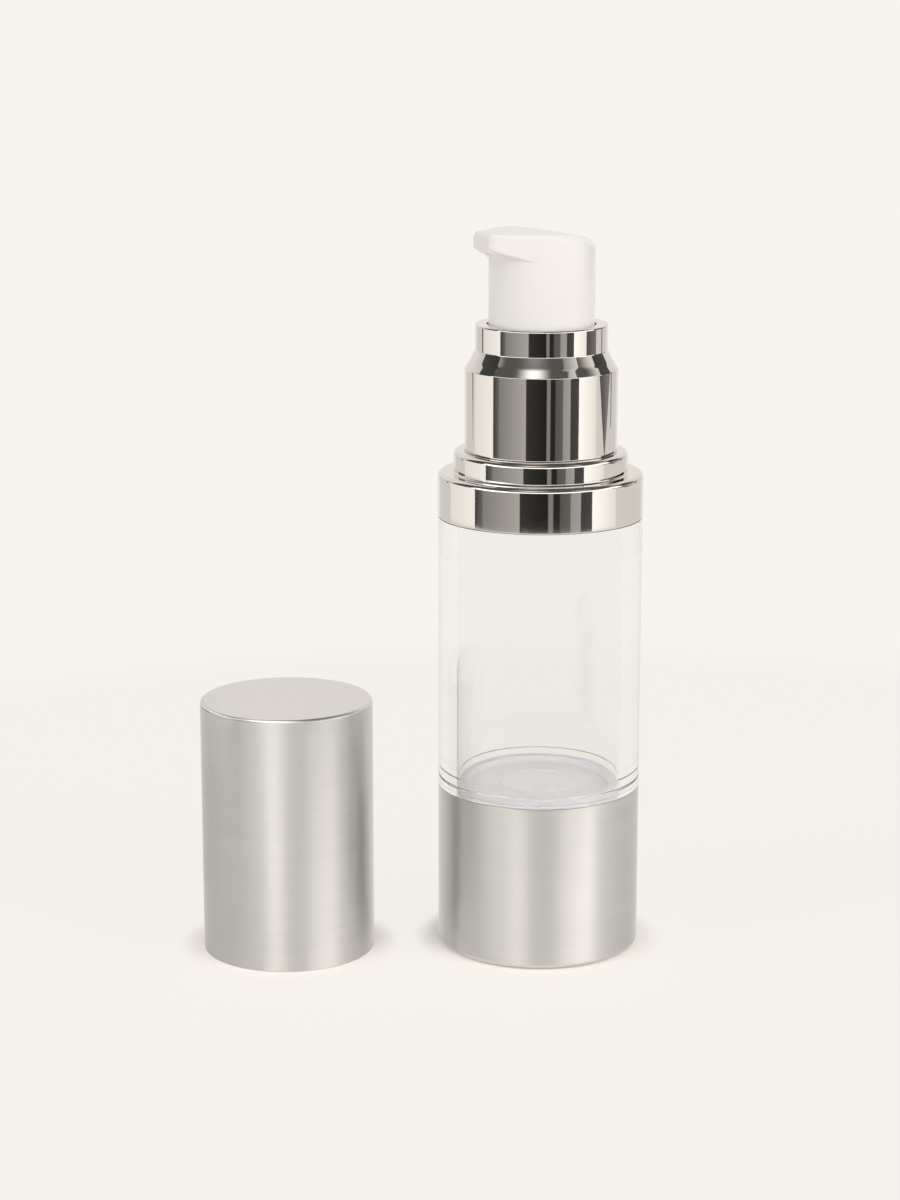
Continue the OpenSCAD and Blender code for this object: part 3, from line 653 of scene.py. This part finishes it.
# ---- Cap liner -------------------------------------------------------------------------------
# White polypropylene pressed into the metal cap. Six small ribs inside its mouth grip the sleeve;
# they are in the CAD alone.
CAP_LINER_R = CAP_R - SKIN - PRESS_GAP
CAP_BORE = 13.2
CAP_ROOF = 42.9
CAP_FOOT = 0.4
liner_top = CAP_TOP - SKIN - JOINT
cap_liner = turned("cap_inner", [
    (0, CAP_ROOF, 0), (CAP_BORE, CAP_ROOF, 0.4), (CAP_BORE, CAP_FOOT, 0.2),
    (CAP_LINER_R, CAP_FOOT, 0.2), (CAP_LINER_R, liner_top, 0.2), (0, liner_top, 0)], CAP_AT)
dress(cap_liner, finishes["white_polypropylene"], "cap", "white_pp", "cap_liner")

# ---- Studio ----------------------------------------------------------------------------------
# A pale table that runs on into a pale wall, two strip lamps and a square one in front, and a
# ring of upright cards. The cards show only in mirrors, as the panels of a photographer's tent
# do.
PAPER = linear("#F7F3ED")
DAYLIGHT = linear("#FFFDFA")
CAMERA_BEARING = np.arctan2(CAMERA_AT[1], CAMERA_AT[0])


def eye_rays(tree):
    """1 for rays of the camera and of mirrors and clear plastic, 0 for the light that lands on
    rough surfaces."""
    ray = add_node(tree, "LightPath").outputs
    seen = add_node(tree, "Math", {0: ray["Is Camera Ray"], 1: ray["Is Glossy Ray"]},
                    operation="MAXIMUM")
    return add_node(tree, "Math", {0: seen.outputs[0], 1: ray["Is Transmission Ray"]},
                    operation="MAXIMUM").outputs[0]


def mirror_rays(tree):
    """1 for rays that mirrors throw back to the eye. 0 for all others: those bent by clear
    plastic, and those that bring light to a rough surface."""
    ray = add_node(tree, "LightPath").outputs
    bent = add_node(tree, "Math", {0: ray["Is Transmission Ray"], 1: ray["Diffuse Depth"]},
                    operation="ADD")
    return add_node(tree, "Math", {0: ray["Is Glossy Ray"], 1: bent.outputs[0]},
                    operation="SUBTRACT", use_clamp=True).outputs[0]


def bearing(degrees):
    """Unit direction from the bottle, at degrees from the camera's, positive to its right."""
    a = CAMERA_BEARING + np.radians(degrees)
    return np.array([np.cos(a), np.sin(a), 0])


world = bpy.data.worlds.new("pale_studio")
bpy.context.scene.world = world
world.use_nodes = True
tree = world.node_tree
tree.nodes.clear()
way = add_node(tree, "TexCoord").outputs["Generated"]
# More light comes from the front than from the back.
side = add_node(tree, "VectorMath", {0: way, 1: bearing(5)}, operation="DOT_PRODUCT")
side = side.outputs["Value"]
air = add_node(tree, "Background", {
    "Color": DAYLIGHT, "Strength": ranged(tree, side, 0.2, 0.97, start=-0.7)})
wall = add_node(tree, "Background", {"Color": PAPER, "Strength": 1.0})
# Lamps can't be aimed at through clear plastic, so what lies behind it, once light has left a
# rough surface there, gets their share from the air.
inner_air = add_node(tree, "Background", {
    "Color": DAYLIGHT, "Strength": ranged(tree, side, 0.75, 2.4, start=-1.0)})
scattered = add_node(tree, "Math", {
    0: add_node(tree, "LightPath").outputs["Diffuse Depth"], 1: 0.5}, operation="GREATER_THAN")
behind = add_node(tree, "MixShader", {
    0: scattered.outputs[0], 1: wall.outputs[0], 2: inner_air.outputs[0]})
# Mirrors see the wall all round, and a dark ceiling over the camera.
over_camera = 0.26 * bearing(0) + [0, 0, 0.966]
over = add_node(tree, "VectorMath", {0: way, 1: over_camera}, operation="DOT_PRODUCT")
dim = ranged(tree, over.outputs["Value"], 1.0, 0.13, 0.4, 0.66, smooth=True)
ceiling = add_node(tree, "Background", {"Color": PAPER, "Strength": dim})
plain = add_node(tree, "MixShader", {
    0: eye_rays(tree), 1: air.outputs[0], 2: behind.outputs[0]})
both = add_node(tree, "MixShader", {
    0: mirror_rays(tree), 1: plain.outputs[0], 2: ceiling.outputs[0]})
add_node(tree, "OutputWorld", {"Surface": both.outputs[0]})

# The table takes the wall's colour far off. Nearer it takes part of it, and least at the feet of
# the bottle and of the cap, so that their contact shadows stay.
FOOT_REACH = 0.005
FADE_FROM_TO = (0.03, 0.24)
table_top, tree = new_material("pale_table")
place = add_node(tree, "TexCoord").outputs["Object"]
far = add_node(tree, "VectorMath", {0: place}, operation="LENGTH").outputs["Value"]
from_cap = add_node(tree, "VectorMath", {0: place, 1: (CAP_AT[0] / 1000, CAP_AT[1] / 1000, 0)},
                    operation="DISTANCE").outputs["Value"]
gap = add_node(tree, "Math", {0: far, 1: BODY_R / 1000}, operation="SUBTRACT")
cap_gap = add_node(tree, "Math", {0: from_cap, 1: CAP_R / 1000}, operation="SUBTRACT")
gap = add_node(tree, "Math", {0: gap.outputs[0], 1: cap_gap.outputs[0]}, operation="MINIMUM")
foot = ranged(tree, gap.outputs[0], 0.2, 0.89, end=FOOT_REACH, smooth=True)
fade = ranged(tree, far, 0.0, 1.0, *FADE_FROM_TO, smooth=True)
fade = add_node(tree, "Math", {0: foot, 1: fade}, operation="MAXIMUM")
share = add_node(tree, "Math", {0: eye_rays(tree), 1: fade.outputs[0]}, operation="MULTIPLY")
cloth = add_node(tree, "BsdfDiffuse", {"Color": linear("#FAF6F1")})
glow = add_node(tree, "Emission", {"Color": PAPER, "Strength": 1.0})
both = add_node(tree, "MixShader", {0: share.outputs[0], 1: cloth.outputs[0], 2: glow.outputs[0]})
add_node(tree, "OutputMaterial", {"Surface": both.outputs[0]})
TABLE_HALF = 20000
SQUARE = np.array([[-1, -1, 0], [1, -1, 0], [1, 1, 0], [-1, 1, 0]])
table = mesh_piece("table_top", TABLE_HALF * SQUARE, [[[0, 1, 2, 3]]])
table_top.cycles.emission_sampling = "NONE"
table.data.materials.append(table_top)


def show_in_mirrors(panel, grey_left, grey_right, soft=False):
    """Makes a panel glow in mirrors that it faces and show nowhere else. Its grey runs evenly
    from u = 0 to u = 1. A soft one fades to nothing at its four edges."""
    material, tree = new_material(panel.name)
    uv = add_node(tree, "UVMap", uv_map="along").outputs[0]
    across = add_node(tree, "SeparateXYZ", {0: uv})
    light = add_node(tree, "Emission", {
        "Color": linear("#FFFBF5"),
        "Strength": ranged(tree, across.outputs[0], grey_left, grey_right)})
    back = add_node(tree, "NewGeometry").outputs["Backfacing"]
    cover = add_node(tree, "Math", {0: mirror_rays(tree), 1: back}, operation="SUBTRACT",
                     use_clamp=True).outputs[0]
    for along in across.outputs[:2] if soft else []:
        # The distance to the nearer end, 0 to 0.5, smoothed.
        end = add_node(tree, "Math", {0: along, 1: 0.5}, operation="PINGPONG").outputs[0]
        fall = ranged(tree, end, 0.0, 1.0, end=0.5, smooth=True)
        cover = add_node(tree, "Math", {0: cover, 1: fall}, operation="MULTIPLY").outputs[0]
    clear_air = add_node(tree, "BsdfTransparent")
    both = add_node(tree, "MixShader", {0: cover, 1: clear_air.outputs[0], 2: light.outputs[0]})
    add_node(tree, "OutputMaterial", {"Surface": both.outputs[0]})
    material.cycles.emission_sampling = "NONE"
    panel.data.materials.append(material)
    panel.visible_camera = panel.visible_diffuse = panel.visible_shadow = False


# Near cards stand between these heights and this far off; the tall ones go on above them.
NEAR_LOW = 57
NEAR_TOP = 104
NEAR = 110
FAR_LOW = 24
FAR_TOP = 150
FAR = 300
BEND = 6  # degrees between a card's upright folds, at most


def card(name, left, right, grey_left, grey_right, low=NEAR_LOW, high=NEAR_TOP, slim=0.0,
         away=NEAR, soft=False):
    """An upright card bent round the bottle from bearing left to right, whose grey runs evenly
    across it, and which narrows towards its foot by slim degrees at each side."""
    k = np.linspace(0, 1, 2 + int((right - left) / BEND))
    foot = [bearing(left + slim + (right - left - 2 * slim) * x) * away + [0, 0, low] for x in k]
    head = [bearing(left + (right - left) * x) * away + [0, 0, high] for x in k]
    n = len(k)
    here = np.arange(n - 1)
    faces = [np.stack([here + 1, here, here + n, here + 1 + n], -1)]
    uv = np.stack([np.tile(k, 2), np.repeat([0, 1], n)], -1)
    show_in_mirrors(mesh_piece(name, foot + head, faces, uv), grey_left, grey_right, soft)


# Near cards, which the bright collar mirrors.
card("white_panel_left", -112, -72, 1.05, 1.25)
card("left_dark_line", -121, -116, 0.1, 0.1, slim=2.3, low=72)
card("panel_gap_left", -72, -62, 0.05, 0.2)
card("grey_panel_left", -62, -21, 0.3, 0.55)
card("black_curtain", -21, 8, 0.05, 0.02)
card("light_stand", 8, 13, 0.3, 0.3)
card("dark_gap", 13, 20, 0.03, 0.03)
card("grey_panel", 20, 31, 0.13, 0.17)
card("pale_panel", 31, 42, 0.42, 0.5)
card("black_edge", 42, 55, 0.07, 0.09)
card("white_panel_right", 55, 86, 1.5, 1.1)
card("side_flag", 80, 104, 0.1, 0.25, low=89.5, away=108)
card("side_flag_line", 121, 125, 0.1, 0.1, low=75, slim=1)
card("side_flag_point", 90, 121, 0.1, 0.3, low=69, high=89.5, slim=15)
card("pale_side_left", -145, -110, 0.8, 0.85, low=44, away=125)
card("pale_side_right", 84, 145, 0.9, 0.8, low=44, away=130)
# Taller cards, which its cone mirrors.
card("tall_panel_left", -140, -112, 1.0, 0.8, low=NEAR_TOP, high=300)
card("tall_flag_left", -112, -78, 0.08, 0.05, low=NEAR_TOP, high=190)
card("tall_panel_right", 40, 66, 0.3, 0.9, low=175, high=230)
card("tall_flag_right", 98, 128, 0.06, 0.1, low=112, high=165)
card("bright_rail", -78, 98, 2.0, 2.0, low=NEAR_TOP, high=140, away=112)
card("top_glow", -55, 23, 1.7, 1.7, low=180, high=345, soft=True)
# Far cards, which show below the near ones in the brushed metal.
for name, left, right, grey_left, grey_right in [
        ("far_side_left", -135, -60, 0.0, 0.25), ("far_front_left", -60, -29, 0.8, 0.9),
        ("far_strip_left", -29, -12, 3.1, 3.1), ("far_middle", -12, 22, 0.55, 0.6),
        ("far_strip_right", 22, 64, 2.3, 4.2), ("far_side_right", 64, 108, 1.0, 0.1),
        ("far_back_right", 108, 140, 0.0, 0.0)]:
    card(name, left, right, grey_left, grey_right, low=FAR_LOW, high=FAR_TOP, away=FAR)
# A sheet over the cap and in front of it, facing down, which its rounded edge mirrors.
SHEET_HALF = 40
SHEET_UP = 95
sheet_at = np.array([*CAP_AT, SHEET_UP]) + 40 * bearing(0) + 14 * bearing(-90)
face_down = SQUARE[[0, 3, 2, 1]]
sheet = mesh_piece("sheet_over_cap", sheet_at + SHEET_HALF * face_down, [[[0, 1, 2, 3]]],
                   (face_down[:, :2] + 1) / 2)
show_in_mirrors(sheet, 3.4, 3.4, soft=True)


def soft_lamp(name, degrees, elevation, width, height, glow):
    """A soft lamp 0.8 m off, at a bearing and elevation from the bottle's middle and facing it.
    An area lamp of power P watts has a radiance of P / (pi x width x height), which is its
    glow. It shows in no mirror, where the cards take its place."""
    lamp = bpy.data.lights.new(name, "AREA")
    lamp.shape, lamp.size, lamp.size_y = "RECTANGLE", width, height
    lamp.energy = glow * np.pi * width * height
    lamp.color = linear("#FFFBF5")[:3]
    e = np.radians(elevation)
    way = bearing(degrees) * np.cos(e) + np.array([0, 0, np.sin(e)])
    holder = bpy.data.objects.new(name, lamp)
    holder.location = way * 0.8 + np.array([0, 0, 0.05])
    holder.rotation_mode = "QUATERNION"
    holder.rotation_quaternion = (-Vector(way)).to_track_quat("-Z", "Y")
    holder.visible_glossy = False
    bpy.context.scene.collection.objects.link(holder)


soft_lamp("strip_left", -58, 40, 0.24, 0.6, 2.3)
soft_lamp("strip_right", 60, 25, 0.28, 0.6, 2.0)
soft_lamp("square_right", 46, 61, 0.4, 0.4, 2.0)
